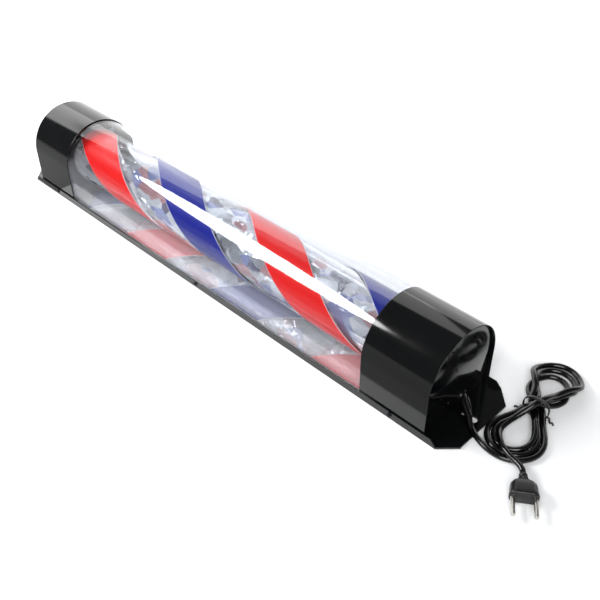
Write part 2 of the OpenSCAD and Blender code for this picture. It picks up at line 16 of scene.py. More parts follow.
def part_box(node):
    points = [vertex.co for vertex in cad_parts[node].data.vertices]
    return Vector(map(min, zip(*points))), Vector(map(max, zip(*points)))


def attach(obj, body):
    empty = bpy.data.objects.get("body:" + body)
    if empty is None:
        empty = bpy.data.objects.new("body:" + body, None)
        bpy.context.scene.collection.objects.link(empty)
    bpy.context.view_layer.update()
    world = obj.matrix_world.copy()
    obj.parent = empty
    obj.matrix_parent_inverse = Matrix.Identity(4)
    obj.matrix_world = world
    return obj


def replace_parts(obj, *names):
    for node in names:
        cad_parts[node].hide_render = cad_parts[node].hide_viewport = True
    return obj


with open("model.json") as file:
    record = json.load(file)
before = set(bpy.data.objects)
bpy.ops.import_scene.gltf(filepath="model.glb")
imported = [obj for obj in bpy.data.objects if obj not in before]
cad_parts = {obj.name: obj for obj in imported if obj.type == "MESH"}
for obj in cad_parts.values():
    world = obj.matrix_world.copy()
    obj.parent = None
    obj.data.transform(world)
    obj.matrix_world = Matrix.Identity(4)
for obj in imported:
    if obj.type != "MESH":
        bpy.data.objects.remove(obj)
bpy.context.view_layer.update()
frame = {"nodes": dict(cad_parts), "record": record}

MM = 0.001

# %% [markdown]
# ## Measures
# The axle of the drum comes from the joint in the record, and the radii come from the boxes of
# the CAD nodes. Nothing is typed twice, so the pieces follow the CAD model when it changes.

# %% Measures from the CAD boxes
axis_z = frame["record"]["behaviour"]["joints"][0]["pos_m"][2]
sleeve_low, sleeve_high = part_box("motor_end_sleeve")
idler_low, idler_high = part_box("idler_end_sleeve")
cover_low, cover_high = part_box("clear_cover")
film_low, film_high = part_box("drum_film")
liner_low, liner_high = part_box("crinkle_liner")
plug_low, plug_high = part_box("motor_end_plug")
sleeve_r = sleeve_high.y
cover_r = cover_high.y
film_r = film_high.y
liner_r = liner_high.y
body_end = sleeve_high.x
print("axle height", round(axis_z, 4), "sleeve", sleeve_r, "cover", cover_r, "film", film_r)

# %% [markdown]
# ## Camera
# The view comes from above the cord end, as a person standing at a table sees the pole. A lens
# a little longer than normal keeps the far end from shrinking too much.

# %% Camera
camera = bpy.data.objects.new("camera", bpy.data.cameras.new("camera"))
bpy.context.scene.collection.objects.link(camera)
camera.location = (0.59554, -0.47442, 0.56519)
looking = Vector((-0.55362, 0.54423, -0.63034)).normalized()
right = Vector((0.70642, 0.70773, -0.00940)).normalized()
up = right.cross(looking)
camera.rotation_mode = "QUATERNION"
camera.rotation_quaternion = Matrix((right, up, -looking)).transposed().to_quaternion()
camera.data.lens = 49.25
camera.data.sensor_width = 36
camera.data.clip_end = 20
bpy.context.scene.camera = camera
print("lens", round(camera.data.lens, 2), "mm")

# %% [markdown]
# ## Helpers
# One function turns a hex colour into linear light, one adds a node to any tree, one starts a
# material and one makes a mesh object. Everything else is written where it is first needed.

# %% Helpers
def linear(code):
    """A hex colour as four linear numbers."""
    channels = [int(code[i:i + 2], 16) / 255 for i in (1, 3, 5)]
    return [c / 12.92 if c <= 0.04045 else ((c + 0.055) / 1.055) ** 2.4 for c in channels] + [1]


def node(tree, kind, inputs=None, **settings):
    """Adds a node; an input is a value or the socket that feeds it."""
    new = tree.nodes.new(kind)
    for name, value in settings.items():
        setattr(new, name, value)
    for name, value in (inputs or {}).items():
        if isinstance(value, bpy.types.NodeSocket):
            tree.links.new(value, new.inputs[name])
        else:
            new.inputs[name].default_value = value
    return new


def empty_material(name):
    """A material with nothing in its node tree yet."""
    made = bpy.data.materials.new(name)
    made.use_nodes = True
    made.node_tree.nodes.clear()
    return made, made.node_tree


def piece(name, mesh, material=None, smooth=35):
    """An object at the origin with the mesh, shaded smooth up to an angle."""
    made = bpy.data.objects.new(name, mesh)
    bpy.context.scene.collection.objects.link(made)
    if material:
        mesh.materials.clear()
        mesh.materials.append(material)
    mesh.shade_smooth()
    mesh.set_sharp_from_angle(angle=math.radians(smooth))
    return made


def from_faces(name, points, faces):
    """A mesh from points in metres and faces, with outward normals."""
    mesh = bpy.data.meshes.new(name)
    mesh.from_pydata([tuple(p) for p in points], [], faces)
    work = bmesh.new()
    work.from_mesh(mesh)
    bmesh.ops.remove_doubles(work, verts=work.verts, dist=1e-7)
    bmesh.ops.recalc_face_normals(work, faces=work.faces)
    work.to_mesh(mesh)
    work.free()
    return mesh


def softened(made, width, segments=2):
    """Rounds the hard edges of a piece, as a mould or a deburring tool leaves them."""
    bevel = made.modifiers.new("round_edges", "BEVEL")
    bevel.width = width
    bevel.segments = segments
    bevel.limit_method = "ANGLE"
    bevel.angle_limit = math.radians(40)
    bevel.harden_normals = True
    return made

# %% [markdown]
# ## The route of the power cord
# A flex of 5.5 mm leaves the end cap, drops to the table and is folded into a flat figure of
# eight, as a packer folds it round a hand. It could be drawn by hand, but crossings are hard to
# draw, so the route is planned from circles and straight runs and then settled: each bead of the
# cord is pushed out of its neighbours, kept from bending too sharply, and pulled down to the table.
# The three rules pull against each other, so each one is only nearly met where laps are packed.

# %% Plan the hank
cord_r = 2.75
near_middle = np.array([378.0, 7.5])
far_middle = np.array([367.0, 97.0])
hank_middle = (near_middle + far_middle) / 2
hank_span = np.linalg.norm(far_middle - near_middle)
run_rise = 2.2  # how much higher each lap's straight runs lie than the lap before
turn_rise = 1.5  # the same for its round ends
hump = 8.5  # how high a run lifts where it crosses the others
sink = 0.03  # how far gravity pulls a bead in one turn of the settling
along = (far_middle - near_middle) / hank_span
across = np.array([-along[1], along[0]])
LEAD = [(322.5, 9, 12), (329, 4, 9.8), (336, -4, 7), (344, -10.5, 5), (352, -15.5, 3.6),
        (359, -18, 3), (366, -19.3, 2.8), (373, -19.3, 2.8)]
TAIL = [(385, -18, 9.5), (392, -18.5, 11), (399, -20, 9.5), (404.5, -22.5, 8),
        (408, -26, 7.5), (411.5, -31, 7.5)]
LAPS = [  # radius at the near lobe going out and coming back, radius and shift of the far lobe
    (24.6, 23.0, 18.6, -11.5), (21.0, 19.6, 19.6, -5.5), (18.5, 17.5, 21.6, 0.5)]


def hank_route():
    """The three laps of the figure of eight, in millimetres."""
    route = []
    for lap, (out_r, back_r, far_r, shift) in enumerate(LAPS):
        span = hank_span + shift
        low = cord_r + 0.05
        lean_out = math.asin((out_r + far_r) / span)
        lean_back = math.asin((back_r + far_r) / span)

        def near(angle, radius):
            return -hank_span / 2 + radius * math.cos(angle), radius * math.sin(angle)

        def far(angle):
            return -hank_span / 2 + span + far_r * math.cos(angle), far_r * math.sin(angle)

        def sweep(count, start, end, place, height):
            for i in range(count):
                u, v = place(start + (end - start) * i / count)
                route.append((u, v, height))

        def run(start, end, height, crest):
            for i in range(8):
                share = i / 8
                lift = crest * math.exp(-((share - 0.5) / 0.25) ** 2)
                route.append((start[0] + (end[0] - start[0]) * share,
                              start[1] + (end[1] - start[1]) * share, height + lift))

        leave, enter = 1.5 * math.pi + lean_out, 0.5 * math.pi + lean_out
        turn, home = -0.5 * math.pi - lean_back, 0.5 * math.pi - lean_back
        sweep(8, math.pi, leave, lambda a: near(a, out_r), low + turn_rise * lap)
        run(near(leave, out_r), far(enter), low + run_rise * lap, 0)
        sweep(14, enter, turn, far, low + turn_rise * lap)
        run(far(turn), near(home, back_r), low + run_rise * lap, hump)
        sweep(7, home, math.pi, lambda a: near(a, back_r), low + turn_rise * lap)
    flat = [hank_middle + u * along + v * across for u, v, _ in route]
    return [(p[0], p[1], r[2]) for p, r in zip(flat, route)]


def smooth_line(points, steps=12):
    """A smooth line through the points."""
    points = [np.array(p, float) for p in points]
    line = []
    for i in range(len(points) - 1):
        a, b, c, d = (points[max(i - 1, 0)], points[i], points[i + 1],
                      points[min(i + 2, len(points) - 1)])
        for k in range(steps):
            t = k / steps
            line.append(0.5 * (2 * b + (c - a) * t + (2 * a - 5 * b + 4 * c - d) * t * t
                               + (3 * b - a - 3 * c + d) * t ** 3))
    return np.array(line + [points[-1]])


def evenly(line, step):
    """The line with its points about one step apart."""
    walked = np.concatenate([[0], np.cumsum(np.linalg.norm(np.diff(line, axis=0), axis=1))])
    places = np.linspace(0, walked[-1], int(round(walked[-1] / step)) + 1)
    return np.stack([np.interp(places, walked, line[:, i]) for i in range(3)], 1)


def settle(points, rounds=5, turns=16, step=4.0, gap=5.7, tightest=18.5):
    """Settles the cord: gap is the nearest two strands should lie, tightest the bend aimed at."""
    beads = evenly(smooth_line(points), step)
    sag = (2 * step) ** 2 / (2 * tightest)
    for _ in range(rounds):
        count = len(beads)
        held = np.zeros(count, bool)
        held[:6] = held[-4:] = True  # both ends stay where the plan puts them
        free = (~held)[:, None]
        order = np.arange(count)
        apart = np.abs(order[:, None] - order[None]) > 5
        for _ in range(turns):
            beads[:, 2] -= sink * free[:, 0]
            reach = beads[:, None] - beads[None]
            far = np.sqrt((reach ** 2).sum(2)) + 1e-9
            inside = np.where(apart & (far < gap), gap - far, 0)
            push = (reach / far[..., None]) * (inside * 0.5)[..., None]
            touching = np.maximum((inside > 0).sum(1), 1)[:, None]
            beads += free * 0.9 * push.sum(1) / touching
            for _ in range(2):
                bow = beads[2:-2] - 0.5 * (beads[:-4] + beads[4:])
                size = np.linalg.norm(bow, axis=1)[:, None] + 1e-9
                extra = np.clip(size - sag, 0, None) / size * bow
                move = np.zeros_like(beads)
                move[2:-2] -= extra * 0.5
                move[:-4] += extra * 0.25
                move[4:] += extra * 0.25
                beads += move * free
            even = np.zeros_like(beads)
            even[2:-2] = ((-beads[:-4] + 4 * beads[1:-3] + 4 * beads[3:-1] - beads[4:]) / 6
                          - beads[2:-2])
            beads += 0.5 * even * free
            beads[:, 2] = np.where(held, beads[:, 2], np.maximum(beads[:, 2], cord_r + 0.05))
        beads = evenly(beads, step)
    return beads


cord_path = evenly(smooth_line(settle(LEAD + hank_route()[1:] + TAIL), 3), 2.0) * MM

# %% [markdown]
# ## A round tube along a path
# A cord is the clearest case for Geometry Nodes: a circle swept along a curve. The tree takes
# the radius as a named input, so that the same one can sweep the leads and the tie.

# %% Tube tree
def shape_tree(name, inputs, output):
    """A geometry tree with its named inputs and its one output."""
    tree = bpy.data.node_groups.new(name, "GeometryNodeTree")
    for label, kind in inputs.items():
        tree.interface.new_socket(label, in_out="INPUT", socket_type="NodeSocket" + kind)
    tree.interface.new_socket(output, in_out="OUTPUT", socket_type="NodeSocketGeometry")
    return tree, node(tree, "NodeGroupInput").outputs


def tube_tree():
    """Sweeps a circle along the curve it is given."""
    tree, given = shape_tree("sweep_round_tube", {
        "Line": "Geometry", "Radius": "Float", "Sides": "Int", "Finish": "Material"}, "Tube")
    line = node(tree, "GeometryNodeMeshToCurve", {"Mesh": given["Line"]}).outputs[0]
    ring = node(tree, "GeometryNodeCurvePrimitiveCircle",
                {"Resolution": given["Sides"], "Radius": given["Radius"]}).outputs[0]
    swept = node(tree, "GeometryNodeCurveToMesh",
                 {"Curve": line, "Profile Curve": ring, "Fill Caps": True}).outputs[0]
    real = node(tree, "GeometryNodeRealizeInstances", {"Geometry": swept}).outputs[0]
    done = node(tree, "GeometryNodeSetMaterial",
                {"Geometry": real, "Material": given["Finish"]}).outputs[0]
    node(tree, "NodeGroupOutput", {"Tube": done})
    return tree


def grown(name, tree, base, inputs, smooth=35):
    """Runs a node tree on a base mesh and keeps the result as a plain mesh."""
    carrier = bpy.data.objects.new(name + "_base", base)
    bpy.context.scene.collection.objects.link(carrier)
    grower = carrier.modifiers.new("grow", "NODES")
    grower.node_group = tree
    for item in tree.interface.items_tree:
        if item.in_out == "INPUT" and item.name in inputs:
            grower[item.identifier] = inputs[item.name]
    ready = carrier.evaluated_get(bpy.context.evaluated_depsgraph_get())
    mesh = bpy.data.meshes.new_from_object(ready)
    bpy.data.objects.remove(carrier)
    made = piece(name, mesh, smooth=smooth)
    print(name, len(mesh.polygons), "faces")
    return made


def line_mesh(name, points):
    """A mesh of edges along the points."""
    mesh = bpy.data.meshes.new(name)
    mesh.from_pydata([tuple(p) for p in points], [(i, i + 1) for i in range(len(points) - 1)], [])
    return mesh


round_tube = tube_tree()

# %% [markdown]
# ## Plastics
# Most of the pole is moulded black ABS with a polished surface. The eye sees almost no colour in
# it, only what it mirrors, so the work is in a low roughness with faint rub marks.

# %% Moulded plastics
def plastic(name, colour, rough, spread=0.04, grain=0.0, size=40, index=1.5):
    """A moulded plastic: rough is its polish, grain the depth of its texture in millimetres."""
    made, tree = empty_material(name)
    place = node(tree, "ShaderNodeTexCoord").outputs["Object"]
    cloud = node(tree, "ShaderNodeTexNoise",
                 {"Vector": place, "Scale": size, "Detail": 5.0, "Roughness": 0.6}).outputs["Fac"]
    polish = node(tree, "ShaderNodeMapRange",
                  {"Value": cloud, "From Min": 0.3, "From Max": 0.7,
                   "To Min": rough, "To Max": rough + spread}).outputs[0]
    fine = node(tree, "ShaderNodeTexNoise",
                {"Vector": place, "Scale": 900.0, "Detail": 2.0}).outputs["Fac"]
    bump = node(tree, "ShaderNodeBump",
                {"Strength": 0.25 if grain else 0.04, "Distance": max(grain, 0.02) * MM,
                 "Height": fine}).outputs[0]
    tint = linear(colour)
    shade = node(tree, "ShaderNodeMix", {"Factor": cloud}, data_type="RGBA")
    shade.inputs["A"].default_value = [c * 0.85 for c in tint[:3]] + [1]
    shade.inputs["B"].default_value = [min(c * 1.15, 1) for c in tint[:3]] + [1]
    skin = node(tree, "ShaderNodeBsdfPrincipled",
                {"Base Color": shade.outputs["Result"], "Roughness": polish, "IOR": index,
                 "Normal": bump})
    node(tree, "ShaderNodeOutputMaterial", {"Surface": skin.outputs[0]})
    return made


# Black ABS from a polished mould: nearly no colour of its own, a clean mirror of the room.
black_abs = plastic("abs_black_polished", "#070809", 0.07, 0.05)
# Flexible PVC of the mains flex: satin black, with a soft broad highlight.
cord_pvc = plastic("pvc_flex_black", "#060607", 0.14, 0.06, grain=0.02, size=120)
# Moulded PVC of the plug: a little rougher than the flex.
plug_pvc = plastic("pvc_plug_black", "#0C0C0D", 0.32, 0.12, grain=0.06, size=90)
# Twist tie: a wire in a flat ribbon of soft PVC.
tie_pvc = plastic("pvc_tie_black", "#101012", 0.35, 0.1, grain=0.02, size=200)
# White nylon of the idler stub and its bush: milky and slightly rough.
white_nylon = plastic("nylon_white_turned", "#D8D6CC", 0.38, 0.1, grain=0.02)
# White ABS of the lamp holder and the end discs.
white_abs = plastic("abs_white_moulded", "#DCDCD8", 0.28, 0.08)
# White flat lead of the lamp.
white_wire = plastic("pvc_lead_white", "#D9D9D4", 0.35, 0.08)
# Insulation of the thin inner wires.
wire_pvc = plastic("pvc_wire_red_brown", "#5A2A1C", 0.35, 0.08)
# Polyethylene foam pads: white and dull, with an open skin.
white_foam = plastic("foam_white_pad", "#CFCFCB", 0.85, 0.1, grain=0.2, size=300)

# %% [markdown]
# ## The power cord
# The tube follows the settled path.

# %% Power cord
power_cord = grown("power_cord", round_tube, line_mesh("cord_line", cord_path),
                   {"Radius": cord_r * MM, "Sides": 20, "Finish": cord_pvc}, smooth=60)
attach(power_cord, "housing")
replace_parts(power_cord, "power_cord_lead", "cord_hank", "cord_tail")

# %% [markdown]
# ## The plug and the tie
# The plug is a moulded body with a waist for the fingers, lofted from rounded sections. Two round
# pins stand in its face, each half covered by a sleeve, and come from the CAD model.

# %% Plug body
def rounded_section(width, height, corner, count=10):
    """A rounded rectangle as points (across, up)."""
    points = []
    for quarter, (sx, sz) in enumerate([(1, 1), (-1, 1), (-1, -1), (1, -1)]):
        for i in range(count):
            turn = math.pi / 2 * (quarter + i / (count - 1))
            points.append((sx * (width / 2 - corner) + corner * math.cos(turn),
                           sz * (height / 2 - corner) + corner * math.sin(turn)))
    return points


def lofted(name, sections, origin, forward):
    """Skins sections (distance, width, height, corner) set along a direction, with closed ends."""
    forward = Vector(forward).normalized()
    aside = Vector((0, 1, 0)) if abs(forward.z) > 0.9 else Vector((0, 0, 1))
    side = aside.cross(forward).normalized()
    rise = forward.cross(side)
    points, faces = [], []
    for distance, width, height, corner in sections:
        for a, b in rounded_section(width, height, corner):
            points.append(Vector(origin) + forward * distance + side * a + rise * b)
    ring = len(points) // len(sections)
    for s in range(len(sections) - 1):
        for i in range(ring):
            j = (i + 1) % ring
            faces.append((s * ring + i, s * ring + j, (s + 1) * ring + j, (s + 1) * ring + i))
    faces.append(tuple(reversed(range(ring))))
    faces.append(tuple(range(len(points) - ring, len(points))))
    return from_faces(name, points, faces)


plug_start = Vector((408, -26, 7.5)) * MM
plug_way = Vector((math.cos(math.radians(-55)), math.sin(math.radians(-55)), 0))
plug_sections = [  # a ribbed neck that grows into the finger grip, the body and its rounded face
    (0.5, 6.6, 6.6, 3.2), (1.2, 7.4, 7.4, 3.6), (2.6, 7.6, 7.6, 3.7), (3.0, 6.8, 6.8, 3.3),
    (3.8, 6.9, 6.9, 3.3), (4.2, 8.2, 8.0, 3.8), (5.8, 8.6, 8.2, 3.9), (6.2, 7.6, 7.4, 3.6),
    (7.0, 8.0, 7.6, 3.7), (8.5, 13.0, 9.8, 4.4), (10.5, 18.5, 11.8, 4.8), (13.0, 22.0, 13.0, 5.0),
    (16.0, 23.4, 13.8, 5.2), (19.0, 23.2, 14.2, 5.4), (22.0, 24.6, 14.6, 5.6),
    (24.6, 25.2, 14.6, 5.6), (25.6, 24.6, 14.0, 5.2), (26.0, 23.4, 12.8, 4.6)]
plug = piece("mains_plug_body", lofted("mains_plug_body", [tuple(v * MM for v in s)
             for s in plug_sections], plug_start, plug_way), plug_pvc, smooth=50)
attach(plug, "housing")
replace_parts(plug, "plug_body")
print("plug", len(plug_sections), "sections")

# %% [markdown]
# ## The twist tie
# A flat ribbon goes once round the waist of the hank and its two ends are twisted together. The
# ribbon is a thin band that follows a rounded loop, made from the sizes of the CAD tie.

# %% Twist tie
tie_share = 0.42  # how far along the hank the tie sits
tie_room = 3.4 * MM  # from the middle of an outer strand to the ribbon
tie_half = 1.8 * MM  # half the width of the ribbon
tie_middle = (near_middle + (far_middle - near_middle) * tie_share) * MM
waist = [p for p in cord_path if abs((p[:2] - tie_middle) @ along) < 3 * MM]
sides = [(p[:2] - tie_middle) @ across for p in waist]
waist_low, waist_high = min(sides) - tie_room, max(sides) + tie_room
waist_top = max(p[2] for p in waist) + tie_room
tie_wide = waist_high - waist_low
loop = [(a + (waist_low + waist_high) / 2, b + waist_top / 2 + 0.2 * MM) for a, b in
        rounded_section(tie_wide, waist_top - 0.4 * MM, min(tie_wide, waist_top) * 0.42, 12)]
points, faces = [], []
for half in (-tie_half, tie_half):
    for a, b in loop:
        flat = tie_middle + across * a + along * half
        points.append((flat[0], flat[1], b))
for i in range(len(loop)):
    j = (i + 1) % len(loop)
    faces.append((i, j, len(loop) + j, len(loop) + i))
tie = piece("hank_twist_tie", from_faces("hank_twist_tie", points, faces), tie_pvc)
thick = tie.modifiers.new("ribbon", "SOLIDIFY")
thick.thickness = 0.7 * MM
thick.offset = 0
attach(tie, "housing")
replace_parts(tie, "cord_tie")

for sign in (-1, 1):
    side = waist_low if sign < 0 else waist_high
    start = tie_middle + across * side
    track = []
    for i in range(13):
        t = i / 12
        wave = 1.2 * MM * math.sin(9 * t) - 3 * MM * t
        out = start + across * sign * 7 * MM * t + along * wave
        track.append((out[0], out[1], (4.9 - 3.0 * t + 0.6 * math.cos(9 * t)) * MM))
    end = grown("tie_end_" + ("left" if sign > 0 else "right"), round_tube,
                line_mesh("tie_end_line", track),
                {"Radius": 0.9 * MM, "Sides": 8, "Finish": tie_pvc}, smooth=60)
    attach(end, "housing")

# %% [markdown]
# ## Floor and light
# The table is plain and pale. An oval softbox over the front flank draws the white line along the
# clear cover, widest in the middle. A wide panel overhead and two tall screens beyond the far side
# give the pale wash on top, and a softbox at the front fills the stripes and the crumpled film.

# %% Floor
def stage_floor():
    """A wide pale table top."""
    half = 3.0
    mesh = from_faces("studio_floor", [(-half, -half, 0), (half, -half, 0), (half, half, 0),
                                       (-half, half, 0)], [(0, 1, 2, 3)])
    made, tree = empty_material("paper_white_matt")
    skin = node(tree, "ShaderNodeBsdfPrincipled",
                {"Base Color": linear("#F4F5F6"), "Roughness": 0.9, "Specular IOR Level": 0.2})
    node(tree, "ShaderNodeOutputMaterial", {"Surface": skin.outputs[0]})
    floor = piece("studio_floor", mesh, made)
    floor.location.z = -0.4 * MM  # a hair below the tray, so that the two faces don't fight
    return floor


floor = stage_floor()


# %% Lights
def panel(name, middle, toward, width, height, radiance, roll=None, shape="RECTANGLE"):
    """A flat light whose surface has the given radiance."""
    lamp = bpy.data.lights.new(name, "AREA")
    lamp.shape = shape
    lamp.size, lamp.size_y = width, height
    area = width * height * (math.pi / 4 if shape == "ELLIPSE" else 1)
    lamp.energy = radiance * math.pi * area
    made = bpy.data.objects.new(name, lamp)
    bpy.context.scene.collection.objects.link(made)
    back = (Vector(middle) - Vector(toward)).normalized()
    long_way = Vector(roll) if roll else Vector((0, 0, 1)).cross(back)
    long_way = (long_way - back * long_way.dot(back)).normalized()
    made.matrix_world = Matrix.Translation(middle) @ Matrix(
        (long_way, back.cross(long_way), back)).transposed().to_4x4()
    made.visible_camera = False
    return made


panel("main_softbox", (-0.57, -0.59, 0.74), (0, 0, 0.08), 0.70, 0.44, 18,
      roll=(0.58, -0.26, 0.02), shape="ELLIPSE")
panel("overhead_panel", (-0.94, 0.42, 0.80), (-0.94, 0.42, 0), 1.7, 1.0, 1.65,
      roll=(0.9, 0.44, 0))
panel("fill_softbox", (1.0, -1.1, 1.2), (0, 0, 0), 1.3, 1.3, 6.0)
panel("far_screen", (-1.7, 0.6, 0.6), (0, 0.6, 0.6), 2.0, 1.2, 1.6)
panel("back_screen", (-0.7, 1.6, 0.6), (-0.7, 0, 0.6), 2.8, 1.2, 1.6)

# A grey card lies beside the pole. Only gloss sees it, so the black sleeves mirror a dimmer table.
card_finish = bpy.data.materials.new("card_grey_matt")
card_finish.use_nodes = True
card_skin = card_finish.node_tree.nodes["Principled BSDF"].inputs
card_skin["Base Color"].default_value = linear("#8A8A8A")
card_skin["Roughness"].default_value = 1.0
card_line = [(-3, -3), (0.42, -3), (0.42, -0.075), (-0.29, -0.075), (-0.29, -0.053), (-3, -0.053)]
card_z = 0.0002
card = piece("grey_card", from_faces("grey_card", [(x, y, card_z) for x, y in card_line],
                                     [tuple(range(len(card_line)))]), card_finish)
for way in ("visible_camera", "visible_diffuse", "visible_shadow", "visible_transmission"):
    setattr(card, way, False)

world = bpy.data.worlds.new("dim_studio")
bpy.context.scene.world = world
world.use_nodes = True
world.node_tree.nodes["Background"].inputs["Color"].default_value = linear("#FFFFFF")
world.node_tree.nodes["Background"].inputs["Strength"].default_value = 0.12
bpy.context.scene.view_settings.view_transform = "Standard"
# A ray through the cover and the drum crosses many clear walls before it meets the floor.
bpy.context.scene.cycles.transparent_max_bounces = 40
print("lights", len(bpy.data.lights))

# %% [markdown]
# ## Clear and metallised sheets
# The cover is a bent sheet of clear PVC. Each of its two faces mirrors a little and lets the rest
# through, so the material mixes a clear shader and a gloss by the Fresnel law.

# %% Sheets
def clear_sheet(name, tint, rough, index=1.5, wave=0.0):
    """A thin clear plastic sheet that mirrors more the flatter it is seen."""
    made, tree = empty_material(name)
    place = node(tree, "ShaderNodeTexCoord").outputs["Object"]
    ripple = node(tree, "ShaderNodeTexNoise", {"Vector": place, "Scale": 30.0, "Detail": 2.0})
    bump = node(tree, "ShaderNodeBump", {"Strength": 0.5, "Distance": max(wave, 0.001) * MM,
                                         "Height": ripple.outputs["Fac"]}).outputs[0]
    # Schlick's curve on the slant of the face: the same from both sides of the thin wall.
    slant = node(tree, "ShaderNodeLayerWeight", {"Blend": 0.5, "Normal": bump}).outputs["Facing"]
    head_on = ((index - 1) / (index + 1)) ** 2
    steep = node(tree, "ShaderNodeMath", {0: slant, 1: 5.0}, operation="POWER").outputs[0]
    share = node(tree, "ShaderNodeMath", {0: steep, 1: 1 - head_on, 2: head_on},
                 operation="MULTIPLY_ADD").outputs[0]
    window = node(tree, "ShaderNodeBsdfTransparent", {"Color": linear(tint)}).outputs[0]
    gloss = node(tree, "ShaderNodeBsdfGlossy",
                 {"Color": linear("#FFFFFF"), "Roughness": rough, "Normal": bump}).outputs[0]
    both = node(tree, "ShaderNodeMixShader", {0: share, 1: window, 2: gloss}).outputs[0]
    node(tree, "ShaderNodeOutputMaterial", {"Surface": both})
    return made


def metal(name, colour, rough, spread=0.08, grain=0.0, size=60, stretch=(1, 1, 1), share=1.0):
    """A metal or metallised sheet: stretch draws its grain out, share is its metallic part."""
    made, tree = empty_material(name)
    place = node(tree, "ShaderNodeTexCoord").outputs["Object"]
    drawn = node(tree, "ShaderNodeMapping", {"Vector": place, "Scale": stretch}).outputs[0]
    cloud = node(tree, "ShaderNodeTexNoise",
                 {"Vector": drawn, "Scale": size, "Detail": 6.0, "Roughness": 0.65}).outputs["Fac"]
    polish = node(tree, "ShaderNodeMapRange",
                  {"Value": cloud, "From Min": 0.3, "From Max": 0.7,
                   "To Min": rough, "To Max": rough + spread}).outputs[0]
    bump = node(tree, "ShaderNodeBump", {"Strength": 0.4, "Distance": max(grain, 0.005) * MM,
                                         "Height": cloud}).outputs[0]
    skin = node(tree, "ShaderNodeBsdfPrincipled",
                {"Base Color": linear(colour), "Metallic": share, "Roughness": polish,
                 "Normal": bump})
    node(tree, "ShaderNodeOutputMaterial", {"Surface": skin.outputs[0]})
    return made


clear_pvc = clear_sheet("pvc_clear_bent", "#FBFCFE", 0.03, wave=0.02)
clear_film = clear_sheet("film_clear_rolled", "#FBFCFD", 0.05, index=1.45, wave=0.03)
mirror_sheet = metal("mirror_liner_silvered", "#F6F7F8", 0.0, 0.01, size=6, share=0.75)
zinc_sheet = metal("steel_zinc_plated", "#B9BDBF", 0.3, 0.15, grain=0.01, size=90)
motor_case = metal("steel_drawn_case", "#A9ACAE", 0.28, 0.12, size=70)
ground_steel = metal("steel_ground", "#B4B6B8", 0.18, 0.1, size=200, stretch=(6, 1, 1))
zinc_screw = metal("screw_zinc_bright", "#C2C6C8", 0.22, 0.1, size=150)
black_screw = metal("screw_black_oxide", "#25262A", 0.3, 0.12, size=150)
lamp_cap_metal = metal("lamp_cap_aluminium", "#C6C8CA", 0.25, 0.1, size=80, stretch=(5, 1, 1))
terminal_brass = metal("brass_nickelled", "#B9A878", 0.3, 0.12, size=120)
nickel_pin = metal("nickel_plated_pin", "#C8C6C0", 0.18, 0.08, size=120)
print("materials", len(bpy.data.materials))

# %% [markdown]
# ## The drum
# The drum is a rolled tube of clear film with a crumpled liner inside it and two vinyl stripes
# outside, each bent to a helix. A helix is a rule, so one node tree bends a flat grid round the
# axle. It stores how far across the strip each point lies, for the printed white edges.

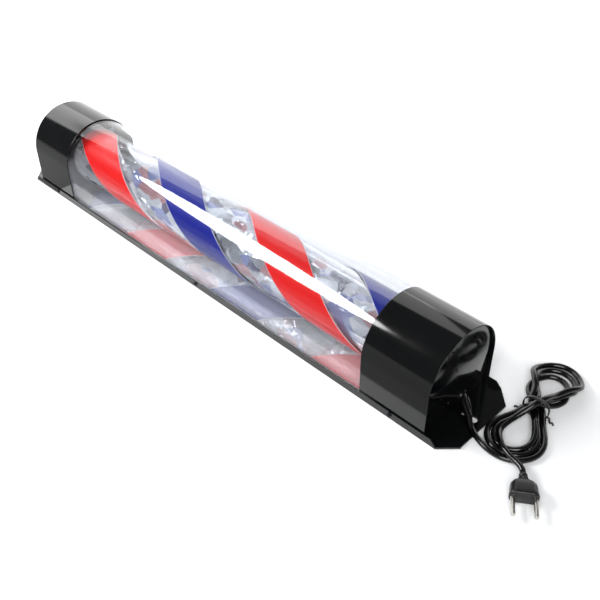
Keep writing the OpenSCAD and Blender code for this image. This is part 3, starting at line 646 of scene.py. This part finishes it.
# %% Tree that bends a grid round the axle
def wrapping_tree():
    """Bends a flat grid into a tube or a helical strip round the axle, with optional creases."""
    sizes = dict.fromkeys(("Start X", "End X", "Radius", "Arc", "First Angle", "Turns Per Metre",
                           "Axle Height", "Crease Depth", "Crease Scale"), "Float")
    tree, given = shape_tree("wrap_round_axle", {
        "Base": "Geometry", **sizes, "Rows": "Int", "Columns": "Int", "Finish": "Material"},
        "Strip")

    def sums(kind, a, b=0.0):
        return node(tree, "ShaderNodeMath", {0: a, 1: b}, operation=kind).outputs[0]

    grid = node(tree, "GeometryNodeMeshGrid",
                {"Size X": 1.0, "Size Y": 1.0, "Vertices X": given["Rows"],
                 "Vertices Y": given["Columns"]}).outputs["Mesh"]
    spot = node(tree, "ShaderNodeSeparateXYZ",
                {"Vector": node(tree, "GeometryNodeInputPosition").outputs[0]}).outputs
    down = sums("ADD", spot["X"], 0.5)
    over = sums("ADD", spot["Y"], 0.5)
    long = sums("SUBTRACT", given["End X"], given["Start X"])
    x = sums("ADD", given["Start X"], sums("MULTIPLY", down, long))
    twist = sums("MULTIPLY", sums("MULTIPLY", sums("MULTIPLY", down, long),
                                  given["Turns Per Metre"]), math.tau)
    angle = sums("ADD", sums("ADD", given["First Angle"], sums("MULTIPLY", over, given["Arc"])),
                 twist)
    cosine, sine = sums("COSINE", angle), sums("SINE", angle)
    # Creases: ridges where two cells of crumpled film meet, at two sizes, always inwards.
    seat = node(tree, "ShaderNodeCombineXYZ",
                {"X": x, "Y": sums("MULTIPLY", cosine, given["Radius"]),
                 "Z": sums("MULTIPLY", sine, given["Radius"])}).outputs[0]
    bend = node(tree, "ShaderNodeTexNoise", {"Vector": seat, "Scale": 40.0, "Detail": 2.0})
    pulled = node(tree, "ShaderNodeVectorMath",
                  {0: node(tree, "ShaderNodeVectorMath", {0: bend.outputs["Color"], "Scale": 0.012},
                           operation="SCALE").outputs[0], 1: seat}, operation="ADD").outputs[0]
    big = node(tree, "ShaderNodeTexVoronoi", {"Vector": pulled, "Scale": given["Crease Scale"]},
               feature="F1").outputs["Distance"]
    small = node(tree, "ShaderNodeTexVoronoi",
                 {"Vector": pulled, "Scale": sums("MULTIPLY", given["Crease Scale"], 2.3)},
                 feature="F1").outputs["Distance"]
    crumple = sums("ADD", big, sums("MULTIPLY", small, 0.45))
    radius = sums("SUBTRACT", given["Radius"], sums("MULTIPLY", crumple, given["Crease Depth"]))
    bent = node(tree, "ShaderNodeCombineXYZ",
                {"X": x, "Y": sums("MULTIPLY", cosine, radius),
                 "Z": sums("ADD", sums("MULTIPLY", sine, radius),
                           given["Axle Height"])}).outputs[0]
    marked = node(tree, "GeometryNodeStoreNamedAttribute",
                  {"Geometry": grid, "Name": "across_strip", "Value": over},
                  data_type="FLOAT", domain="POINT").outputs[0]
    shaped = node(tree, "GeometryNodeSetPosition",
                  {"Geometry": marked, "Position": bent}).outputs[0]
    closed = node(tree, "GeometryNodeMergeByDistance",
                  {"Geometry": shaped, "Distance": 0.00002}).outputs[0]
    real = node(tree, "GeometryNodeRealizeInstances", {"Geometry": closed}).outputs[0]
    done = node(tree, "GeometryNodeSetMaterial",
                {"Geometry": real, "Material": given["Finish"]}).outputs[0]
    node(tree, "NodeGroupOutput", {"Strip": done})
    return tree


wrapping = wrapping_tree()


def wrapped(name, start, end, radius, finish, arc=math.tau, first=0.0, turns=0.0, rows=2,
            columns=193, depth=0.0, scale=70.0, thickness=0.3):
    """A strip or tube of film round the axle, with its wall."""
    made = grown(name, wrapping, bpy.data.meshes.new("seed"),
                 {"Start X": start, "End X": end, "Radius": radius, "Arc": arc,
                  "First Angle": first, "Turns Per Metre": turns, "Axle Height": axis_z,
                  "Crease Depth": depth, "Crease Scale": scale, "Rows": rows,
                  "Columns": columns, "Finish": finish}, smooth=60)
    wall = made.modifiers.new("wall", "SOLIDIFY")
    wall.thickness = thickness * MM
    wall.offset = -1
    return made


# %% [markdown]
# ## Vinyl stripes
# Cut vinyl is a strong flat colour with a thin glossy skin. Each stripe keeps a narrow white edge,
# where the print stops short of the cut.

# %% Vinyl
def vinyl(name, colour, edge):
    """Printed vinyl with a white edge; edge is the share of the width on each side."""
    made, tree = empty_material(name)
    over = node(tree, "ShaderNodeAttribute", attribute_name="across_strip").outputs["Fac"]
    ramp = node(tree, "ShaderNodeValToRGB", {"Fac": over})
    ramp.color_ramp.interpolation = "CONSTANT"
    ramp.color_ramp.elements[0].color = linear("#E9ECEE")
    ramp.color_ramp.elements[1].position = edge
    ramp.color_ramp.elements[1].color = linear(colour)
    last = ramp.color_ramp.elements.new(1 - edge)
    last.color = linear("#E9ECEE")
    place = node(tree, "ShaderNodeTexCoord").outputs["Object"]
    cloud = node(tree, "ShaderNodeTexNoise", {"Vector": place, "Scale": 35.0, "Detail": 3.0})
    bump = node(tree, "ShaderNodeBump", {"Strength": 0.3, "Distance": 0.05 * MM,
                                         "Height": cloud.outputs["Fac"]}).outputs[0]
    skin = node(tree, "ShaderNodeBsdfPrincipled",
                {"Base Color": ramp.outputs["Color"], "Roughness": 0.3, "IOR": 1.5,
                 "Normal": bump, "Coat Weight": 0.5, "Coat Roughness": 0.06}).outputs[0]
    # Lit from behind, the thin print glows in its own colour.
    glow = node(tree, "ShaderNodeBsdfTranslucent", {"Color": ramp.outputs["Color"]}).outputs[0]
    sheet = node(tree, "ShaderNodeMixShader", {0: 0.3, 1: skin, 2: glow}).outputs[0]
    node(tree, "ShaderNodeOutputMaterial", {"Surface": sheet})
    return made


red_vinyl = vinyl("vinyl_red_printed", "#E60C0A", 0.009)
blue_vinyl = vinyl("vinyl_blue_printed", "#081A8C", 0.009)


def crumpled_film(name):
    """Crushed clear film: flat facets that each tilt and pass light their own way, coloured with
    painted reflections.
    """
    made, tree = empty_material(name)
    place = node(tree, "ShaderNodeTexCoord").outputs["Object"]
    stretch = node(tree, "ShaderNodeMapping", {"Vector": place, "Scale": (0.7, 1, 1)}).outputs[0]
    facing = node(tree, "ShaderNodeNewGeometry").outputs["Normal"]
    shards = [node(tree, "ShaderNodeTexVoronoi", {"Vector": stretch, "Scale": per_metre}
                   ).outputs["Color"] for per_metre in (40.0, 78.0)]
    tilt = facing
    for shard, strength in zip(shards, (1.1, 0.7)):
        lean = node(tree, "ShaderNodeVectorMath", {0: shard, 1: (0.5, 0.5, 0.5)},
                    operation="SUBTRACT").outputs[0]
        lean = node(tree, "ShaderNodeVectorMath", {0: lean, "Scale": strength},
                    operation="SCALE").outputs[0]
        tilt = node(tree, "ShaderNodeVectorMath", {0: tilt, 1: lean}, operation="ADD").outputs[0]
    tilt = node(tree, "ShaderNodeVectorMath", {0: tilt}, operation="NORMALIZE").outputs[0]
    # Painted reflection: each facet gets a flat colour for what it would mirror: mostly white, some
    # rose, some blue, some dark.
    painted_reflection_pick = node(tree, "ShaderNodeSeparateColor", {0: shards[1]}).outputs[1]
    painted_reflection_ramp = node(tree, "ShaderNodeValToRGB", {"Fac": painted_reflection_pick})
    painted_reflection_ramp.color_ramp.interpolation = "CONSTANT"
    painted_reflection_ramp.color_ramp.elements[0].color = linear("#8C8CA2")
    painted_reflection_ramp.color_ramp.elements[1].position = 0.08
    painted_reflection_ramp.color_ramp.elements[1].color = linear("#EAB9B8")
    for start, code in ((0.24, "#BAC2EA"), (0.38, "#FCFDFE")):
        painted_reflection_ramp.color_ramp.elements.new(start).color = linear(code)
    painted_reflection_colour = painted_reflection_ramp.outputs["Color"]
    mirror = node(tree, "ShaderNodeBsdfGlossy", {"Color": linear("#F4F6F8"), "Roughness": 0.1,
                                                 "Normal": tilt}).outputs[0]
    # The diffuse and translucent parts both carry the painted reflection colour.
    milk = node(tree, "ShaderNodeBsdfDiffuse", {"Color": painted_reflection_colour, "Normal": tilt}).outputs[0]
    glow = node(tree, "ShaderNodeBsdfTranslucent", {"Color": painted_reflection_colour, "Normal": tilt}).outputs[0]
    soft = node(tree, "ShaderNodeMixShader", {0: 0.42, 1: milk, 2: glow}).outputs[0]
    body = node(tree, "ShaderNodeMixShader", {0: 0.25, 1: soft, 2: mirror}).outputs[0]
    window = node(tree, "ShaderNodeBsdfTransparent", {"Color": linear("#FAFBFC")}).outputs[0]
    red = node(tree, "ShaderNodeSeparateColor", {0: shards[0]}).outputs[0]
    share = node(tree, "ShaderNodeMapRange",
                 {"Value": red, "To Min": 0.7, "To Max": 1.0}).outputs[0]
    both = node(tree, "ShaderNodeMixShader", {0: share, 1: window, 2: body}).outputs[0]
    node(tree, "ShaderNodeOutputMaterial", {"Surface": both})
    return made


crinkle_film = crumpled_film("film_crumpled_silvery")

# %% Drum pieces
pitch = 0.325  # how far along the pole a stripe goes in one turn
stripe_low, stripe_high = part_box("red_stripe")
stripe_wall = 0.25
stripe_base = film_r + 0.25 * MM
quarter = math.radians(90)
stripes = {
    "red_helical_stripe": ("red_stripe", math.radians(31), red_vinyl, "red_vinyl"),
    "blue_helical_stripe": ("blue_stripe", math.radians(211), blue_vinyl, "blue_vinyl")}
for name, (cad, first, finish, slot) in stripes.items():
    stripe = wrapped(name, stripe_low.x, stripe_high.x, stripe_base + 0.25 * MM, finish,
                     arc=quarter, first=first, turns=1 / pitch, rows=241, columns=37,
                     thickness=stripe_wall)
    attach(stripe, "drum")
    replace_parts(stripe, cad)

film = wrapped("clear_drum_tube", film_low.x, film_high.x, film_r, clear_film, thickness=0.5)
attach(film, "drum")
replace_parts(film, "drum_film")

liner = wrapped("crumpled_drum_liner", liner_low.x, liner_high.x, liner_r - 0.15 * MM,
                crinkle_film, rows=330, columns=145, depth=2.6 * MM, scale=75.0, thickness=0.12)
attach(liner, "drum")
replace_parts(liner, "crinkle_liner")

# %% [markdown]
# ## Bent and moulded shells
# The cover and the two sleeves share one section: straight sides with a half-round top, open
# below. It is drawn once as an outer and an inner line and pushed along the pole.

# %% D-shaped shells
def d_line(radius, bottom, count=72):
    """The D line from the left foot over the top to the right foot, as points (y, z)."""
    turns = [math.pi * i / count for i in range(count + 1)]
    arc = [(-radius * math.cos(turn), axis_z + radius * math.sin(turn)) for turn in turns]
    return [(-radius, bottom)] + arc + [(radius, bottom)]


def d_shell(name, start, end, radius, wall, bottom, finish, round_off):
    """An open D-shaped shell along the pole."""
    outer, inner = d_line(radius, bottom), d_line(radius - wall, bottom)
    ring = outer + inner[::-1]
    count = len(ring)
    points = [(x, y, z) for x in (start, end) for y, z in ring]
    faces = [(i, (i + 1) % count, count + (i + 1) % count, count + i) for i in range(count)]
    half = len(outer)
    for base in (0, count):
        for i in range(half - 1):
            faces.append((base + i, base + i + 1, base + count - 2 - i, base + count - 1 - i))
    return softened(piece(name, from_faces(name, points, faces), finish), round_off * MM)


cover_wall = 1.2 * MM
sleeve_wall = 1.1 * MM
cover = d_shell("clear_pvc_cover", cover_low.x, cover_high.x, cover_r, cover_wall, cover_low.z,
                clear_pvc, 0.25)
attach(cover, "housing")
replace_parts(cover, "clear_cover")
for name, cad, low, high in (
        ("motor_end_sleeve_shell", "motor_end_sleeve", sleeve_low, sleeve_high),
        ("idler_end_sleeve_shell", "idler_end_sleeve", idler_low, idler_high)):
    sleeve = d_shell(name, low.x, high.x, sleeve_r, sleeve_wall, low.z, black_abs, 0.35)
    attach(sleeve, "housing")
    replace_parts(sleeve, cad)
    print(name, len(sleeve.data.polygons), "faces")

# %% [markdown]
# ## Domed end plugs
# Each end is shut by a moulded plug whose face is a shallow dome with a small round-over. The
# face is built from shrinking copies of the D outline, lifted onto the sphere.

# %% End plugs
dome_r = 0.4  # radius of the sphere that the face lies on
skirt_depth = 16 * MM


def end_plug(name, sign, depth, radius, foot):
    """A domed cap that closes one end of the pole; sign is the end it faces."""
    wall = 1.6 * MM

    def outline(inset):
        line = d_line(radius - inset, foot + inset, 48)
        bottom = [(radius - inset - (2 * (radius - inset)) * i / 12, foot + inset)
                  for i in range(1, 12)]
        return line + bottom

    def dome(y, z):
        return body_end - dome_r + math.sqrt(dome_r ** 2 - y ** 2 - (z - axis_z) ** 2)

    points, rings = [], []

    def ring(line, x_of):
        rings.append(len(points))
        points.extend((sign * x_of(y, z), y, z) for y, z in line)

    skirt = body_end - depth
    ring(outline(wall), lambda y, z: skirt)
    ring(outline(0), lambda y, z: skirt)
    edge = 1.0 * MM
    for turn in (0, 22.5, 45, 67.5, 90):
        back = edge * (1 - math.sin(math.radians(turn)))
        inset = edge * (1 - math.cos(math.radians(turn)))
        ring(outline(inset), lambda y, z: dome(y, z) - back)
    middle = axis_z * 0.52
    base = outline(edge)
    for share in (0.96, 0.9, 0.8, 0.68, 0.55, 0.42, 0.3, 0.18, 0.08):
        ring([(y * share, middle + (z - middle) * share) for y, z in base], dome)
    count = len(base)
    faces = [(a + i, a + (i + 1) % count, b + (i + 1) % count, b + i)
             for a, b in zip(rings, rings[1:]) for i in range(count)]
    points.append((sign * dome(0, middle), 0, middle))
    faces += [(rings[-1] + i, rings[-1] + (i + 1) % count, len(points) - 1) for i in range(count)]
    # The inside: a skirt and a flat back, so that the cap has a wall.
    inner = body_end - depth + 10 * MM
    rings.append(len(points))
    points.extend((sign * inner, y, z) for y, z in outline(wall))
    mouth, inside = rings[0], rings[-1]
    faces += [(mouth + i, mouth + (i + 1) % count, inside + (i + 1) % count, inside + i)
              for i in range(count)]
    faces.append(tuple(range(rings[-1], rings[-1] + count)))
    made = piece(name, from_faces(name, points, faces), black_abs, smooth=50)
    print(name, len(faces), "faces")
    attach(made, "housing")
    return made


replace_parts(end_plug("motor_end_dome", 1, skirt_depth, plug_high.y, plug_low.z), "motor_end_plug")
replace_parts(end_plug("idler_end_dome", -1, skirt_depth, plug_high.y, plug_low.z), "idler_end_plug")

# %% [markdown]
# ## Lamp
# The lamp is a frosted polycarbonate tube with a strip of light chips inside. It is unlit here
# and stands behind the crumpled liner, so it hardly shows.

# %% Lamp finishes
frosted_pc = plastic("polycarbonate_frosted", "#E6E8E8", 0.4, 0.08, index=1.58)
white_board = plastic("circuit_board_white", "#E4E4DE", 0.45, 0.08)
phosphor = plastic("phosphor_yellow", "#E3C23A", 0.4, 0.08)
print("lamp finishes", frosted_pc.name, white_board.name, phosphor.name)

# %% [markdown]
# ## Screws and light chips
# Both come in even rows: three screws along each lip of the tray, and the chips along their board.
# One node tree copies a part along a line; the first and last places come from the CAD boxes.

# %% Tree that sets a part in a row
def row_tree():
    """Copies the given part along a line."""
    tree, given = shape_tree("row_of_parts", {
        "Part": "Geometry", "Count": "Int", "First": "Vector", "Step": "Vector",
        "Finish": "Material"}, "Row")
    line = node(tree, "GeometryNodeMeshLine",
                {"Count": given["Count"], "Start Location": given["First"],
                 "Offset": given["Step"]}).outputs[0]
    copies = node(tree, "GeometryNodeInstanceOnPoints",
                  {"Points": line, "Instance": given["Part"]}).outputs[0]
    real = node(tree, "GeometryNodeRealizeInstances", {"Geometry": copies}).outputs[0]
    done = node(tree, "GeometryNodeSetMaterial",
                {"Geometry": real, "Material": given["Finish"]}).outputs[0]
    node(tree, "NodeGroupOutput", {"Row": done})
    return tree


row_of_parts = row_tree()


# %% Side screws
def screw_pair(half_width, head_r, count=32):
    """Two pan-head screws that face away from each other across the tray, with cross recesses."""
    seat = half_width - 1.3 * MM
    profile = [  # radius and distance from the seat in millimetres, and how deep the cross cuts
        (0.6, -3.3, 0), (1.2, -3.0, 0), (1.4, -2.4, 0), (1.4, 0, 0), (head_r / MM, 0, 0),
        (head_r / MM, 0.45, 0), (head_r / MM - 0.15, 0.8, 0), (head_r / MM - 0.5, 1.1, 0),
        (1.9, 1.24, 0), (1.6, 1.29, 0.55), (1.3, 0.75, 0.6), (0.5, 0.4, 0)]
    points, faces = [], []
    for side in (1, -1):
        first = len(points)
        for radius, lift, cross in profile:
            for i in range(count):
                angle = math.tau * i / count
                lobe = 1 - cross * (1 - abs(math.cos(2 * angle)) ** 2)
                points.append((radius * lobe * MM * math.cos(angle), side * (seat + lift * MM),
                               radius * lobe * MM * math.sin(angle)))
        for r in range(len(profile) - 1):
            for i in range(count):
                a, b = first + r * count + i, first + r * count + (i + 1) % count
                faces.append((a, b, b + count, a + count))
        faces.append(tuple(range(first, first + count)))
        faces.append(tuple(range(len(points) - count, len(points))))
    return from_faces("screw_pair", points, faces)


screw_low, screw_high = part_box("side_screws")
screw_r = (screw_high.z - screw_low.z) / 2
screw_reach = screw_high.x - screw_r
side_screws = grown("tray_side_screws", row_of_parts, screw_pair(screw_high.y, screw_r),
                    {"Count": 3, "First": (-screw_reach, 0, screw_low.z + screw_r),
                     "Step": (screw_reach, 0, 0), "Finish": black_screw}, smooth=40)
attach(side_screws, "housing")
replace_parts(side_screws, "side_screws")

# %% Light chips
chip_low, chip_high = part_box("lamp_chips")
chip_count = 38
chip_sections = [  # a white cup with the yellow window a little below its rim
    (0, 3.5, 2.8, 0.1), (0.5, 3.5, 2.8, 0.12), (0.72, 3.36, 2.66, 0.2), (0.8, 3.1, 2.4, 0.3),
    (0.8, 2.7, 2.0, 0.6), (0.68, 2.5, 1.8, 0.7)]
chip_mesh = lofted("light_chip", [tuple(v * MM for v in s) for s in chip_sections],
                   (0, 0, 0), (0, 0, 1))
first_chip = chip_low.x + 1.75 * MM
chip_step = (chip_high.x - chip_low.x - 3.5 * MM) / (chip_count - 1)
chips = grown("lamp_light_chips", row_of_parts, chip_mesh,
              {"Count": chip_count, "First": (first_chip, 0, chip_low.z),
               "Step": (chip_step, 0, 0), "Finish": phosphor}, smooth=40)
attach(chips, "housing")
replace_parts(chips, "lamp_chips")

# %% [markdown]
# ## Finishes on the CAD nodes that stay
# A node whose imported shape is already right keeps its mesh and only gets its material, chosen by
# the record's own slot.

# %% Assign finishes by slot
finishes = {
    "black_abs": black_abs, "clear_pvc": clear_pvc, "mirror_sheet": mirror_sheet,
    "white_foam": white_foam, "black_screw": black_screw, "zinc_screw": zinc_screw,
    "zinc_sheet": zinc_sheet, "motor_case": motor_case, "ground_steel": ground_steel,
    "white_nylon": white_nylon, "white_abs": white_abs, "frosted_pc": frosted_pc,
    "lamp_cap_metal": lamp_cap_metal, "white_board": white_board, "phosphor": phosphor,
    "wire_pvc": wire_pvc, "white_wire": white_wire, "terminal_brass": terminal_brass,
    "clear_film": clear_film, "crinkle_film": crinkle_film, "red_vinyl": red_vinyl,
    "blue_vinyl": blue_vinyl, "cord_pvc": cord_pvc, "tie_pvc": tie_pvc, "plug_pvc": plug_pvc,
    "nickel_pin": nickel_pin}
for part in frame["record"]["subparts"]:
    kept = frame["nodes"][part["node"]]
    kept.data.materials.clear()
    kept.data.materials.append(finishes[part["material_slot"]])
print("finished", len(finishes), "slots")
